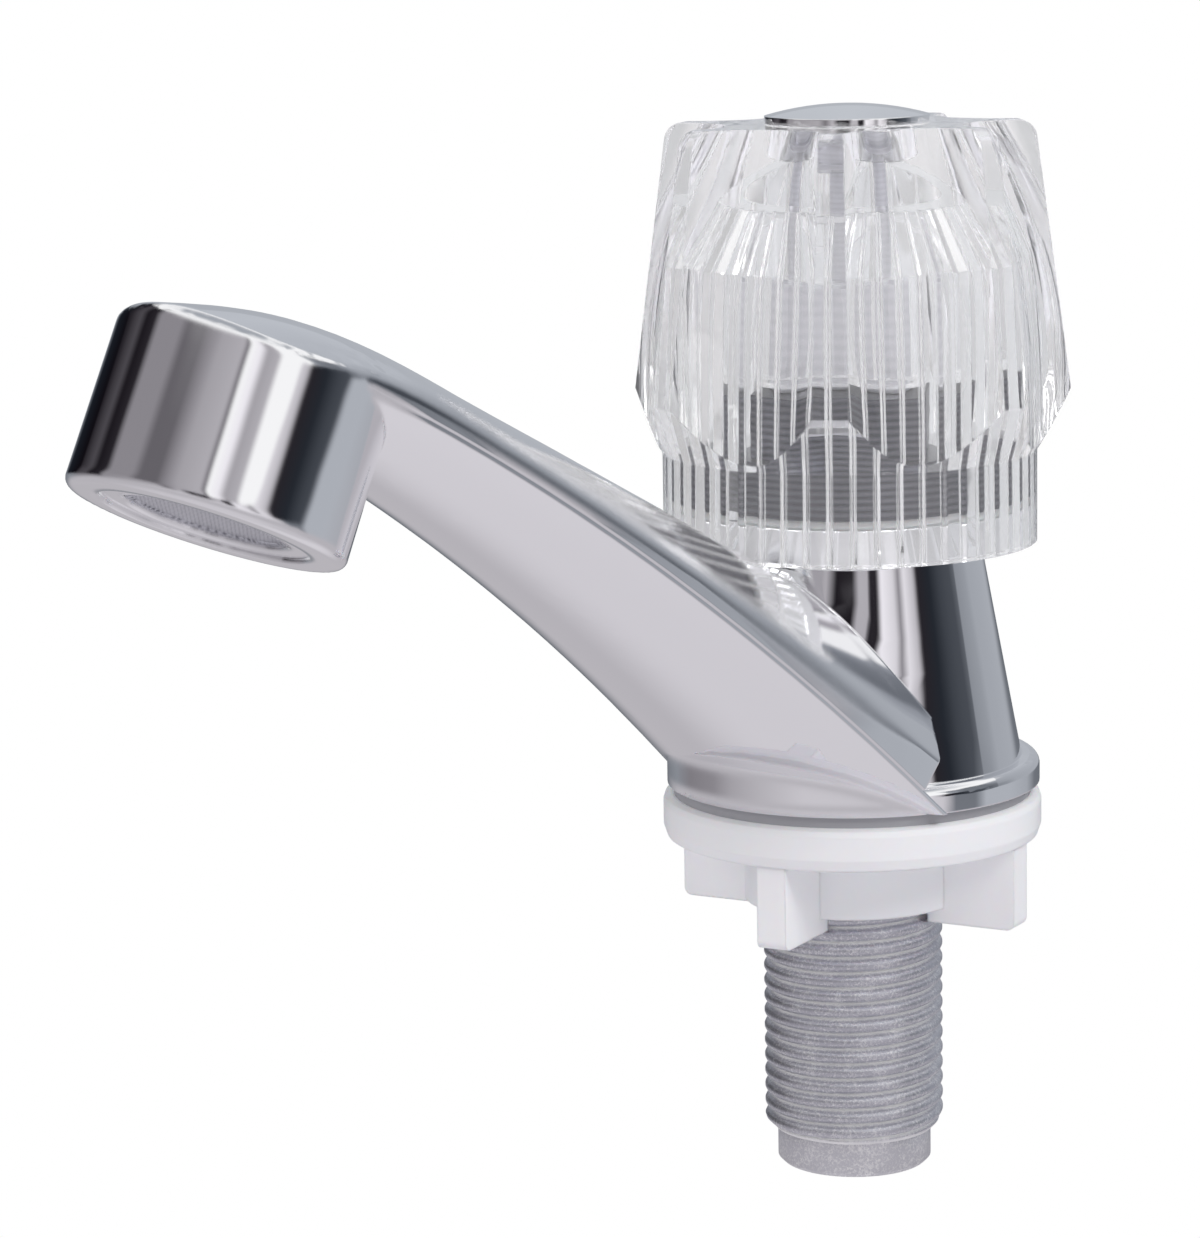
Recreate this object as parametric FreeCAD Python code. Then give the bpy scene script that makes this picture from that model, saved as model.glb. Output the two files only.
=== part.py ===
import FreeCAD, Part
import math
import os

# A single basin tap: sculpted cast body with its spout, a clear fluted handle on a
# screw-down valve, a threaded tail below the basin and a plastic wing nut under it.
# Millimetres. The origin is the centre of the base's underside, on the valve axis.
# +Z is up and the spout reaches out along -Y.

# Clearances and fits.
RUN_GAP = 0.05            # radial running clearance between a shaft and its hole
THREAD_GAP = 0.09         # radial clearance between two mating threads
SLIDE_GAP = 0.2           # clearance beside a part that slides without turning
HANDLE_GAP = 0.8          # air between the turning handle and the casting
SEAL_GAP = 0.01           # a seal that only just touches the wall it closes
PRESS = 0.02              # interference of a push fit

# Main sizes: how far the spout reaches, and the top of the handle.
REACH = 97.4              # from the valve axis to the middle of the outlet
HANDLE_TOP = 76.0
FAR = 200.0               # more than the whole tap, for blocks that trim it
OVER = 1.0                # how far a cutting body runs past the face it opens

# Base and cone of the casting.
FLANGE_R = 21.8           # rim of the round base
FLANGE_H = 3.0
FLANGE_EDGE = 1.1         # rounding of the rim's upper edge
PANEL_INSET = 0.3         # how far the lower panels stand back from the plate
CONE_BASE_R = 19.7
CONE_TOP_R = 14.4
CONE_TOP_Z = 31.5

# Spout arm: a crowned plate over a shallow rounded underside.
HEAD_R = 14.3             # round head where the plate runs into it
ARM_HEAD_U = REACH - 10.9  # distance of the plate's round end from the valve axis
ARM_END = (12.1, 3.0)     # foot of the slanted face where the plate stops by the cone
ARM_END_LEAN = 0.8        # how far that face leans back for each millimetre of height
SPAN = 25.0               # half width of the blocks the arm is cut from
SIDE_SPARE = 0.8          # how far the lofted surfaces run past the arm's sides
EDGE_START = (9.4, 6.5)   # the plate's upper edge: distance out, height
EDGE_MID = (REACH - 45.5, 36.5)
EDGE_END = (REACH - 4.5, 60.9)
CROWN_START = (14.0, 25.8)    # the middle of the plate
CROWN_END = (REACH, 67.75)
NOSE_U = REACH - 19.4     # from here on the plate bends down over the head
NOSE_LEN = 19.4
NOSE_FALL = 3.95          # how much it has dropped above the outlet's middle
NOSE_CURL = 1.8           # power of the distance with which the drop grows
LINE_START = (8.1, 0.2)   # the seam between the plate and the panels below it
LINE_MID = (REACH - 52.4, 29.6)
LINE_END = (REACH - 11.4, 54.8)
ARM_FIRST = 2.0           # first and last of the sections that shape the arm
ARM_LAST = REACH + 14.6
SEAM_FIRST = -24.0
PANEL_START = 4.1         # distance out at which the lower panels begin
ARM_CEILING = 90.0        # heights between which the arm's blocks are made
ARM_FLOOR = -10.0
SEAM_LIP = 0.6            # narrow upright strip under the seam, above the rounded underside
KEEL_NEAR = 7.1           # depth of the rounded underside below the seam, at the base
KEEL_FAR = 5.8            # and at the head
SECTION_STEP = 12.0       # spacing of the sections the arm is lofted through
PLATE_EDGE = 1.3          # rounding along the plate's upper edge

# Head and outlet.
OUTLET_Z = 41.6
OUTLET_TILT = 25.5        # degrees that the outlet faces outwards
OUTLET_R = 14.5           # rim of the head; it narrows a little upwards
HEAD_TAPER = 0.3
HEAD_REACH = 34.0         # length of the head's cylinder before the plate trims it
HEAD_EDGE = 1.0
HEAD_TOP_EDGE = 0.9       # rounding where the head's wall meets the crowned top
AERATOR_R = 11.0          # thread of the aerator in the outlet
AERATOR_DEPTH = 9.6
HEAD_CAVITY_R = 9.6
HEAD_CAVITY_DEPTH = 16.0
AERATOR_IN = 0.4          # how far the aerator's ring sits inside the rim
AERATOR_END = 8.0
AERATOR_WINDOW_R = 8.4
INSERT_R = 9.9
SCREEN_IN = 1.3
SCREEN_T = 0.6
JET_R = 1.6               # water holes of the insert
JET_RING_R = 6.2
JETS = 8
MIDDLE_JET_R = 2.4
AERATOR_GASKET_T = 1.6
AERATOR_GASKET_BORE = 8.6
CHANNEL_R = 4.4           # waterway along the arm
CHANNEL_NEAR = (6.0, 17.0)
CHANNEL_FAR = (REACH - 6.4, 55.0)

# Valve.
SEAT_Z = 10.5             # top of the valve seat
SEAT_R = 5.5              # hole through the seat
SEAT_LAND = 1.6           # width of the raised land round it
CHAMBER_Z = 9.0
SLEEVE_R = 10.0           # outside of the bonnet's sleeve
SLEEVE_BORE = 7.6
SLEEVE_Z = 12.6           # its lower end
COLLAR_R = 14.0
COLLAR_Z = CONE_TOP_Z + 1.0
COLLAR_TOP = COLLAR_Z + 6.1
COLLAR_CHAMFER = 0.8
COLLAR_LEDGE = 0.6        # how far the gasket stops short of the collar's edge
HEX_FLATS = 20.0
HEX_TOP = COLLAR_TOP + 6.9
SPINDLE_R = 5.5
SHOULDER_R = 7.2
SHOULDER_Z = 21.2
SHOULDER_TOP = 29.4
WASHER_T = 0.8            # thrust washer over the shoulder
WASHER_PLAY = 0.05
STEM_R = 3.9
STEM_TOP = 27.0
LIFT_ROOM = 5.5           # depth left above the stem for the plug's travel
CLIP_T = 0.8              # spring clip above the hexagon
CLIP_DEPTH = 0.8
CLIP_PROUD = 0.9
CLIP_GAP = 3.0
CLIP_AIR = 0.1
SPLINE_R = 5.2
SPLINE_DEPTH = 0.35
SPLINE_TEETH = 20
SPLINE_Z = HEX_TOP + 1.7   # where the spline's relief in the handle ends
SHAFT_PROUD = 1.6         # round shaft above the hexagon
SPINDLE_TOP = HANDLE_TOP - 19.0
RING_T = 1.8              # section of the seal rings on the spindle
RING_Z = (34.6, 39.4)
GUIDE_W = 3.0             # lugs that stop the valve plug turning
GUIDE_REACH = 9.2
WINDOW_W = 8.0            # openings for the water beside the plug
WINDOW_TOP = 23.5
PLUG_R = 7.2
PLUG_T = 3.0
SEAT_WASHER_T = 3.0
SEAT_WASHER_R = 7.0
SEAT_SCREW_R = 1.5
SEAT_SCREW_HEAD_R = 3.4
SEAT_SCREW_HEAD_T = 1.6
SEAT_SCREW_REACH = 4.5    # length inside the plug
SEAT_SCREW_HOLE = 5.0
SEAT_SCREW_SLOT = 0.9
SEAT_SCREW_PLAY = 0.1

# Clear handle.
RIDGES = 7
RIDGE_TURN = -54.0        # degrees from +X to the first ridge
SKIRT_R = 21.5
SKIRT_Z = 28.2
SKIRT_TOP = SKIRT_Z + 10.5
WIDE_R = 25.5             # ridge radius at its widest
WIDE_Z = SKIRT_TOP + 6.6
TOP_RIDGE_R = 21.4
TOP_VALLEY_R = 13.6       # the flute's floor at the top
MIDDLE_VALLEY_R = 20.4    # and beside the shoulder of the cavity
WIDE_VALLEY_R = 21.9      # and at the widest height
FLUTE_SPARE = 8.0         # how far a flute's cutting body runs past the handle
RIDGE_W_TOP = 3.0         # width of a ridge's outer face
RIDGE_W_LOW = 4.0
RIDGE_ROUND = 1.7
ROUND_MIDDLE = 0.3        # where the rounding's middle lies, as a share of it
RIBS = 46
RIB_DEPTH = 0.75
RIB_FLAT = 0.7            # share of the wall between two ribs that is left plain
SKIRT_BORE = 18.6
CAVITY_R = 18.0           # the cavity at its shoulder
CAVITY_TOP = HANDLE_TOP - 16.0
CAVITY_END_R = 14.0
CAVITY_END = HANDLE_TOP - 9.6
BOSS_R = 10.4
BOSS_Z = HEX_TOP + 1.1
BOSS_RELIEF = 1.2         # air round the shaft below the spline
TOP_AIR = 0.5             # air above the end of the spindle
CAP_R = 9.4
CAP_RIM = 0.9
CAP_RISE = 2.2
CAP_FLAT = 0.03
CAP_PLUG_R = 7.4
CAP_PLUG_T = 2.0
CAP_WALL = 1.2
RECESS_Z = HANDLE_TOP - 5.5
SCREW_R = 2.0
SCREW_HEAD_R = 3.9
SCREW_HEAD_T = 2.4
SCREW_LEN = 16.0
SCREW_WASHER_R = 4.8
SCREW_WASHER_T = 0.6
SCREW_HOLE_PLAY = 0.2
SCREW_WASHER_PLAY = 0.1
SCREW_HOLE_DEPTH = 12.0
CROSS_LONG = 4.4          # cross recess in the screw's head
CROSS_WIDE = 0.9
CROSS_DEEP = 1.0

# Tail, washer and nut.
TAIL_R = 10.4775          # 20.955 mm pipe thread, half inch
TAIL_TOP = 7.0
TAIL_LOW = -45.8
TIP_R = 9.0
TIP_H = 4.2
TIP_CHAMFER = 0.5
TAIL_BORE = 7.4
TAIL_RING_Z = 2.4
TAIL_RING_T = 1.9
GASKET_T = 1.3            # flat washer under the base
GASKET_R = 20.8
NUT_R = 22.0
NUT_LOW = -6.5
NUT_TOP_ROUND = 0.9
NUT_LOW_ROUND = 1.6
HUB_R = 12.6
HUB_LOW = -14.0
WINGS = 4
WING_TURN = 15.2          # degrees from +X to the first wing
WING_R = 21.3
WING_T = 3.6
WING_LOW = -15.8
WING_ROUND = 1.0

OUT = "parts"


def up(x, y, z):
    return FreeCAD.Vector(x, y, z)


def rod(radius, low, high):
    return Part.makeCylinder(radius, high - low, up(0, 0, low))


def tube(radius, bore, low, high):
    return rod(radius, low, high).cut(rod(bore, low - OVER, high + OVER))


def turned(points):
    # a closed outline of (radius, height) points, revolved about the valve axis
    wire = Part.makePolygon([up(r, 0, z) for r, z in points] + [up(points[0][0], 0, points[0][1])])
    return Part.Face(wire).revolve(up(0, 0, 0), up(0, 0, 1), 360)


def join(shapes):
    return shapes[0].fuse(shapes[1:]).removeSplitter()


def curve_height(points, along):
    # the smooth curve through a few (distance, height) points, read at one distance
    total = 0.0
    for i, (u_i, z_i) in enumerate(points):
        weight = z_i
        for j, (u_j, z_j) in enumerate(points):
            if j != i:
                weight *= (along - u_j) / (u_i - u_j)
        total += weight
    return total


def nose_drop(along):
    return NOSE_FALL * (max(0.0, along - NOSE_U) / NOSE_LEN) ** NOSE_CURL


def edge_height(along):
    return curve_height((EDGE_START, EDGE_MID, EDGE_END), along) - nose_drop(along)


def crown_height(along):
    return curve_height((CROWN_START, CROWN_END), along) - nose_drop(along)


def line_height(along):
    return curve_height((LINE_START, LINE_MID, LINE_END), along)


def half_width(along, base_r, head_r):
    # half width of the plate: the straight sides that touch the base and the head
    slope = (base_r - head_r) / ARM_HEAD_U
    return (base_r - slope * along) / math.sqrt(1 - slope * slope)


def plan_outline(base_r, head_r, low, high):
    # the tongue that joins the round base to the round head, seen from above
    slope = math.asin((base_r - head_r) / ARM_HEAD_U)
    side, ahead = math.cos(slope), math.sin(slope)
    near_right = up(base_r * side, -base_r * ahead, low)
    near_left = up(-base_r * side, -base_r * ahead, low)
    far_right = up(head_r * side, -ARM_HEAD_U - head_r * ahead, low)
    far_left = up(-head_r * side, -ARM_HEAD_U - head_r * ahead, low)
    back = Part.Arc(near_left, up(0, base_r, low), near_right).toShape()
    front = Part.Arc(far_right, up(0, -ARM_HEAD_U - head_r, low), far_left).toShape()
    right = Part.makeLine(near_right, far_right)
    left = Part.makeLine(far_left, near_left)
    return Part.Face(Part.Wire([back, right, front, left])).extrude(up(0, 0, high - low))


def stations(first, last):
    count = int(math.ceil((last - first) / SECTION_STEP))
    return [first + (last - first) * i / count for i in range(count + 1)]


def arched_section(along, half, middle, drop, floor):
    # a parabola that falls by the drop at the arm's side, carried a little further out
    span = half + SIDE_SPARE
    side_z = middle - drop * (span / half) ** 2
    left, right = up(-span, -along, side_z), up(span, -along, side_z)
    curve = Part.BezierCurve()
    curve.setPoles([left, up(0, -along, 2 * middle - side_z), right])
    arch = curve.toShape()
    low_right = up(span, -along, floor)
    low_left = up(-span, -along, floor)
    sides = [Part.makeLine(right, low_right), Part.makeLine(low_right, low_left)]
    return Part.Wire([arch] + sides + [Part.makeLine(low_left, left)])


def below_crown():
    # everything under the plate's crowned top
    wires = []
    for along in stations(ARM_FIRST, ARM_LAST):
        half = half_width(min(along, ARM_HEAD_U), FLANGE_R, HEAD_R)
        drop = crown_height(along) - edge_height(along)
        wires.append(arched_section(along, half, crown_height(along), drop, ARM_FLOOR))
    return Part.makeLoft(wires, True, False)


def below_keel():
    # everything under the arm's rounded underside
    wires = []
    for along in stations(ARM_FIRST, ARM_LAST):
        half = half_width(min(along, ARM_HEAD_U), FLANGE_R - PANEL_INSET, HEAD_R - PANEL_INSET)
        reach = (along - EDGE_START[0]) / (EDGE_END[0] - EDGE_START[0])
        depth = KEEL_NEAR + (KEEL_FAR - KEEL_NEAR) * reach
        rise = depth - SEAM_LIP
        wires.append(arched_section(along, half, line_height(along) - depth, -rise, ARM_FLOOR - KEEL_NEAR))
    return Part.makeLoft(wires, True, False)


def above_line():
    # everything above the seam between the plate and the panels
    points = [up(-SPAN, -along, line_height(along)) for along in stations(SEAM_FIRST, ARM_LAST)]
    seam = Part.BSplineCurve()
    seam.interpolate(points)
    high_far = up(-SPAN, points[-1].y, FAR)
    high_near = up(-SPAN, points[0].y, FAR)
    edges = [seam.toShape(), Part.makeLine(points[-1], high_far)]
    edges += [Part.makeLine(high_far, high_near), Part.makeLine(high_near, points[0])]
    return Part.Face(Part.Wire(edges)).extrude(up(2 * SPAN, 0, 0))


def ahead_of(distance):
    return Part.makeBox(4 * SPAN, FAR, FAR, up(-2 * SPAN, -distance - FAR, ARM_FLOOR))


def ahead_of_end():
    # everything in front of the slanted face where the plate stops
    foot, height = ARM_END
    low_u = foot + ARM_END_LEAN * (height - ARM_FLOOR)
    high_u = foot - ARM_END_LEAN * (ARM_CEILING - height)
    corners = [(low_u, ARM_FLOOR), (high_u, ARM_CEILING), (FAR, ARM_CEILING), (FAR, ARM_FLOOR),
               (low_u, ARM_FLOOR)]
    side = Part.makePolygon([up(-2 * SPAN, -along, z) for along, z in corners])
    return Part.Face(side).extrude(up(4 * SPAN, 0, 0))


def outlet_frame(depth):
    # a point on the head's axis, this far in from the outlet face
    tilt = math.radians(OUTLET_TILT)
    return up(0, -REACH + depth * math.sin(tilt), OUTLET_Z + depth * math.cos(tilt))


def head_rod(radius, start, end):
    tilt = math.radians(OUTLET_TILT)
    inward = up(0, math.sin(tilt), math.cos(tilt))
    return Part.makeCylinder(radius, end - start, outlet_frame(start), inward)


def head_tube(radius, bore, start, end):
    return head_rod(radius, start, end).cut(head_rod(bore, start - OVER, end + OVER))


def channel():
    near = up(0, -CHANNEL_NEAR[0], CHANNEL_NEAR[1])
    far = up(0, -CHANNEL_FAR[0], CHANNEL_FAR[1])
    return Part.makeCylinder(CHANNEL_R, (far - near).Length, near, far - near)


def flange():
    disc = rod(FLANGE_R, 0, FLANGE_H)
    rim = [e for e in disc.Edges if e.BoundBox.ZMin > FLANGE_H / 2 and len(e.Vertexes) < 2]
    return disc.makeFillet(FLANGE_EDGE, rim)


def cone():
    return Part.makeCone(CONE_BASE_R, CONE_TOP_R, CONE_TOP_Z - FLANGE_H, up(0, 0, FLANGE_H))


def plate(crown, above):
    outline = plan_outline(FLANGE_R, HEAD_R, -OVER, ARM_CEILING).common(ahead_of_end())
    slab = outline.common(crown).common(above)
    return slab.makeFillet(PLATE_EDGE, [edge for edge in slab.Edges if on_plate_edge(edge)])


def on_plate_edge(edge):
    # one of the two long edges where the crowned top turns down into the plate's sides
    middle = edge.valueAt((edge.FirstParameter + edge.LastParameter) / 2)
    from_top = abs(middle.z - edge_height(-middle.y))
    from_side = abs(abs(middle.x) - half_width(-middle.y, FLANGE_R, HEAD_R))
    return max(from_top, from_side) < PLATE_EDGE / 3 and edge.BoundBox.YLength > SECTION_STEP


def panels(crown, above):
    base_r, head_r = FLANGE_R - PANEL_INSET, HEAD_R - PANEL_INSET
    outline = plan_outline(base_r, head_r, 0.0, ARM_CEILING).common(ahead_of(PANEL_START))
    lower = outline.common(crown).cut(above)
    arm = lower.cut(below_keel())
    return arm.fuse(lower.common(rod(base_r, 0, ARM_CEILING)))


def head(crown):
    inward = outlet_frame(1.0) - outlet_frame(0.0)
    barrel = Part.makeCone(OUTLET_R, OUTLET_R - HEAD_TAPER, HEAD_REACH, outlet_frame(0), inward)
    rim = [e for e in barrel.Edges if near_outlet(e)]
    shape = barrel.makeFillet(HEAD_EDGE, rim).common(crown)
    top = [e for e in shape.Edges if e.BoundBox.ZMin > OUTLET_Z + OUTLET_R / 2]
    return shape.makeFillet(HEAD_TOP_EDGE, top)


def near_outlet(edge):
    centre = outlet_frame(0)
    return len(edge.Vertexes) < 2 and (edge.CenterOfMass - centre).Length < HEAD_EDGE


def waterways():
    tail_socket = rod(TAIL_R + RUN_GAP, -OVER, TAIL_TOP)
    chamber = rod(SLEEVE_R + THREAD_GAP, CHAMBER_Z, CONE_TOP_Z + OVER)
    land = tube(SEAT_R + SEAT_LAND, SEAT_R, CHAMBER_Z - OVER, SEAT_Z)
    outlet = head_rod(AERATOR_R, -OVER, AERATOR_DEPTH)
    cavity = head_rod(HEAD_CAVITY_R, AERATOR_DEPTH - OVER, HEAD_CAVITY_DEPTH)
    open_space = [tail_socket, chamber.cut(land), rod(SEAT_R, 0, SEAT_Z + OVER)]
    return open_space + [outlet, cavity, channel()]


def handle_relief():
    # room for the handle's skirt to pass over the arm
    return tube(SKIRT_R + HANDLE_GAP, CONE_TOP_R + 2 * HANDLE_GAP, SKIRT_Z - HANDLE_GAP, ARM_CEILING)


def tap_body():
    crown = below_crown()
    above = above_line()
    base = flange().common(above)
    arm = join([plate(crown, above), panels(crown, above), head(crown)]).cut(handle_relief())
    body = join([arm, base, cone()])
    for space in waterways():
        body = body.cut(space)
    return body


def shank():
    outer = rod(TAIL_R, TAIL_LOW + TIP_H, TAIL_TOP)
    tip = turned([(0, TAIL_LOW), (TIP_R - TIP_CHAMFER, TAIL_LOW), (TIP_R, TAIL_LOW + TIP_CHAMFER),
                  (TIP_R, TAIL_LOW + TIP_H), (0, TAIL_LOW + TIP_H)])
    body = outer.fuse(tip).removeSplitter()
    groove = tube(TAIL_R + OVER, TAIL_R - TAIL_RING_T, TAIL_RING_Z, TAIL_RING_Z + TAIL_RING_T)
    return body.cut(rod(TAIL_BORE, TAIL_LOW - OVER, TAIL_TOP + OVER)).cut(groove)


def shank_ring():
    inner = TAIL_R - TAIL_RING_T + SEAL_GAP
    return tube(TAIL_R + RUN_GAP - SEAL_GAP, inner, TAIL_RING_Z + SEAL_GAP,
                TAIL_RING_Z + TAIL_RING_T - SEAL_GAP)


def slot(width, reach, low, high):
    return Part.makeBox(width, 2 * reach, high - low, up(-width / 2, -reach, low))


def bonnet():
    collar = turned([(0, COLLAR_Z), (COLLAR_R, COLLAR_Z), (COLLAR_R, COLLAR_TOP - COLLAR_CHAMFER),
                     (COLLAR_R - COLLAR_CHAMFER, COLLAR_TOP), (0, COLLAR_TOP)])
    flats = hexagon(HEX_FLATS, COLLAR_TOP - OVER, HEX_TOP)
    sleeve = rod(SLEEVE_R, SLEEVE_Z, COLLAR_Z + OVER)
    body = join([collar, flats, sleeve])
    body = body.cut(rod(SLEEVE_BORE, SLEEVE_Z - OVER, SHOULDER_TOP + WASHER_T))
    body = body.cut(rod(SPINDLE_R + RUN_GAP, 0, HEX_TOP + OVER))
    body = body.cut(slot(WINDOW_W, SLEEVE_R + OVER, SLEEVE_Z - OVER, WINDOW_TOP))
    guide = slot(GUIDE_W + 2 * SLIDE_GAP, SLEEVE_R + OVER, SLEEVE_Z - OVER, WINDOW_TOP)
    guide.rotate(up(0, 0, 0), up(0, 0, 1), 90)
    return body.cut(guide)


def hexagon(flats, low, high):
    radius = flats / math.sqrt(3.0)
    points = [up(radius * math.cos(math.radians(60 * i)), radius * math.sin(math.radians(60 * i)), low)
              for i in range(7)]
    return Part.Face(Part.makePolygon(points)).extrude(up(0, 0, high - low))


def bonnet_gasket():
    return tube(COLLAR_R - COLLAR_LEDGE, SLEEVE_R + THREAD_GAP, CONE_TOP_Z, COLLAR_Z)


def toothed(outer, inner, teeth, low, high):
    points = []
    for i in range(2 * teeth + 1):
        radius = outer if i % 2 == 0 else inner
        turn = math.pi * i / teeth
        points.append(up(radius * math.cos(turn), radius * math.sin(turn), low))
    return Part.Face(Part.makePolygon(points)).extrude(up(0, 0, high - low))


def spindle():
    shaft = rod(SPINDLE_R, SHOULDER_TOP, HEX_TOP + SHAFT_PROUD)
    shoulder = rod(SHOULDER_R, SHOULDER_Z, SHOULDER_TOP)
    spline = toothed(SPLINE_R, SPLINE_R - SPLINE_DEPTH, SPLINE_TEETH, HEX_TOP, SPINDLE_TOP)
    body = join([shaft, shoulder, spline])
    body = body.cut(rod(STEM_R + THREAD_GAP, SHOULDER_Z - OVER, STEM_TOP + LIFT_ROOM))
    for height in RING_Z:
        body = body.cut(tube(SPINDLE_R + OVER, SPINDLE_R - RING_T / 2, height, height + RING_T))
    low = HEX_TOP + CLIP_AIR
    body = body.cut(tube(SPINDLE_R + OVER, SPINDLE_R - CLIP_DEPTH, low, low + CLIP_T))
    return body.cut(rod(SCREW_R - PRESS, SPINDLE_TOP - SCREW_HOLE_DEPTH, SPINDLE_TOP + OVER))


def spindle_ring(height):
    return tube(SPINDLE_R + RUN_GAP - SEAL_GAP, SPINDLE_R - RING_T / 2 + SEAL_GAP,
                height + SEAL_GAP, height + RING_T - SEAL_GAP)


def circlip():
    low = HEX_TOP + CLIP_AIR
    ring = tube(SPINDLE_R + CLIP_PROUD, SPINDLE_R - CLIP_DEPTH + SEAL_GAP, low, low + CLIP_T)
    gap = Part.makeBox(CLIP_GAP, 2 * SPINDLE_R, CLIP_T + 2 * OVER, up(-CLIP_GAP / 2, 0, low - OVER))
    return ring.cut(gap)


def thrust_washer():
    return tube(SHOULDER_R, SPINDLE_R + RUN_GAP, SHOULDER_TOP + WASHER_PLAY, SHOULDER_TOP + WASHER_T)


def valve_plug():
    low = SEAT_Z + SEAT_WASHER_T
    disc = rod(PLUG_R, low, low + PLUG_T)
    lugs = Part.makeBox(2 * GUIDE_REACH, GUIDE_W, PLUG_T, up(-GUIDE_REACH, -GUIDE_W / 2, low))
    stem = rod(STEM_R, low, STEM_TOP)
    body = join([disc, lugs, stem])
    return body.cut(rod(SEAT_SCREW_R - PRESS, low - OVER, low + SEAT_SCREW_HOLE))


def seat_washer():
    return tube(SEAT_WASHER_R, SEAT_SCREW_R + SEAT_SCREW_PLAY, SEAT_Z, SEAT_Z + SEAT_WASHER_T)


def seat_screw():
    low = SEAT_Z - SEAT_SCREW_HEAD_T
    head_part = rod(SEAT_SCREW_HEAD_R, low, SEAT_Z)
    shank_part = rod(SEAT_SCREW_R, low, SEAT_Z + SEAT_WASHER_T + SEAT_SCREW_REACH)
    wide = 2 * SEAT_SCREW_HEAD_R + OVER
    notch = Part.makeBox(wide, SEAT_SCREW_SLOT, SEAT_SCREW_SLOT, up(-wide / 2, -SEAT_SCREW_SLOT / 2, low))
    notch.translate(up(0, 0, -SEAT_SCREW_SLOT / 3))
    return head_part.fuse(shank_part).removeSplitter().cut(notch)


def radius_at(height, low_r, high_r):
    return low_r + (high_r - low_r) * (height - WIDE_Z) / (HANDLE_TOP - WIDE_Z)


def ridge_radius(height):
    return radius_at(height, WIDE_R, TOP_RIDGE_R)


def valley_radius(height):
    floor = ((HANDLE_TOP, TOP_VALLEY_R), (CAVITY_TOP, MIDDLE_VALLEY_R), (WIDE_Z, WIDE_VALLEY_R))
    return curve_height(floor, max(height, WIDE_Z))


def flute_section(height):
    # one flute at one height: the arc through its floor and its two ridges, carried a little past
    # them, and closed well outside the handle
    ridge, valley = ridge_radius(height), valley_radius(height)
    half = math.pi / RIDGES - math.asin(radius_at(height, RIDGE_W_LOW, RIDGE_W_TOP) / 2 / ridge)
    chord, sag = ridge * math.sin(half), ridge * math.cos(half) - valley
    radius = (chord * chord + sag * sag) / (2 * sag)
    end = math.acos((radius - sag) / radius) + SIDE_SPARE / radius
    out, side = valley + radius - radius * math.cos(end), radius * math.sin(end)
    left, right = up(out, -side, height), up(out, side, height)
    beyond = ridge + FLUTE_SPARE
    far_left, far_right = up(beyond, -side, height), up(beyond, side, height)
    floor = Part.Arc(left, up(valley, 0, height), right).toShape()
    edges = [Part.makeLine(right, far_right), Part.makeLine(far_right, far_left)]
    return Part.Wire([floor] + edges + [Part.makeLine(far_left, left)])


def flute(turn):
    # one hollow, lofted through its sections from above the handle to below its widest height
    heights = (HANDLE_TOP + FLUTE_SPARE / 2, CAVITY_TOP, WIDE_Z, WIDE_Z - FLUTE_SPARE)
    body = Part.makeLoft([flute_section(height) for height in heights], True, False)
    body.rotate(up(0, 0, 0), up(0, 0, 1), turn)
    return body


def fluted_block():
    # the turned body of the handle with its hollows cut away
    body = handle_envelope()
    for i in range(RIDGES):
        body = body.cut(flute(RIDGE_TURN + (i + 0.5) * 360.0 / RIDGES))
    return body


def handle_envelope():
    # the turned outline: bevel at the ridges' feet, long straight side, rounded top
    top_r = TOP_RIDGE_R
    foot = up(SKIRT_R, 0, SKIRT_TOP)
    wide = up(WIDE_R, 0, WIDE_Z)
    side = up(ridge_radius(HANDLE_TOP - RIDGE_ROUND), 0, HANDLE_TOP - RIDGE_ROUND)
    bend = up(top_r - ROUND_MIDDLE * RIDGE_ROUND, 0, HANDLE_TOP - ROUND_MIDDLE * RIDGE_ROUND)
    inner = up(top_r - RIDGE_ROUND, 0, HANDLE_TOP)
    end, start = up(0, 0, HANDLE_TOP), up(0, 0, SKIRT_TOP)
    edges = [Part.makeLine(start, foot), Part.makeLine(foot, wide), Part.makeLine(wide, side)]
    edges += [Part.Arc(side, bend, inner).toShape(), Part.makeLine(inner, end), Part.makeLine(end, start)]
    return Part.Face(Part.Wire(edges)).revolve(up(0, 0, 0), up(0, 0, 1), 360)


def ribbed_wire(radius, height):
    # plain stretches with a narrow pointed rib after each
    points = []
    for i in range(RIBS):
        for share, depth in ((0, 0), (RIB_FLAT, 0), ((1 + RIB_FLAT) / 2, RIB_DEPTH)):
            turn = 2 * math.pi * (i + share) / RIBS
            points.append(up((radius - depth) * math.cos(turn), (radius - depth) * math.sin(turn), height))
    return Part.makePolygon(points + [points[0]])


def handle_cavity():
    low, shoulder = ribbed_wire(SKIRT_BORE, SKIRT_Z - OVER), ribbed_wire(CAVITY_R, CAVITY_TOP)
    end = ribbed_wire(CAVITY_END_R, CAVITY_END)
    wall, roof = Part.makeLoft([low, shoulder], True, True), Part.makeLoft([shoulder, end], True, True)
    return wall.fuse(roof)


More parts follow.
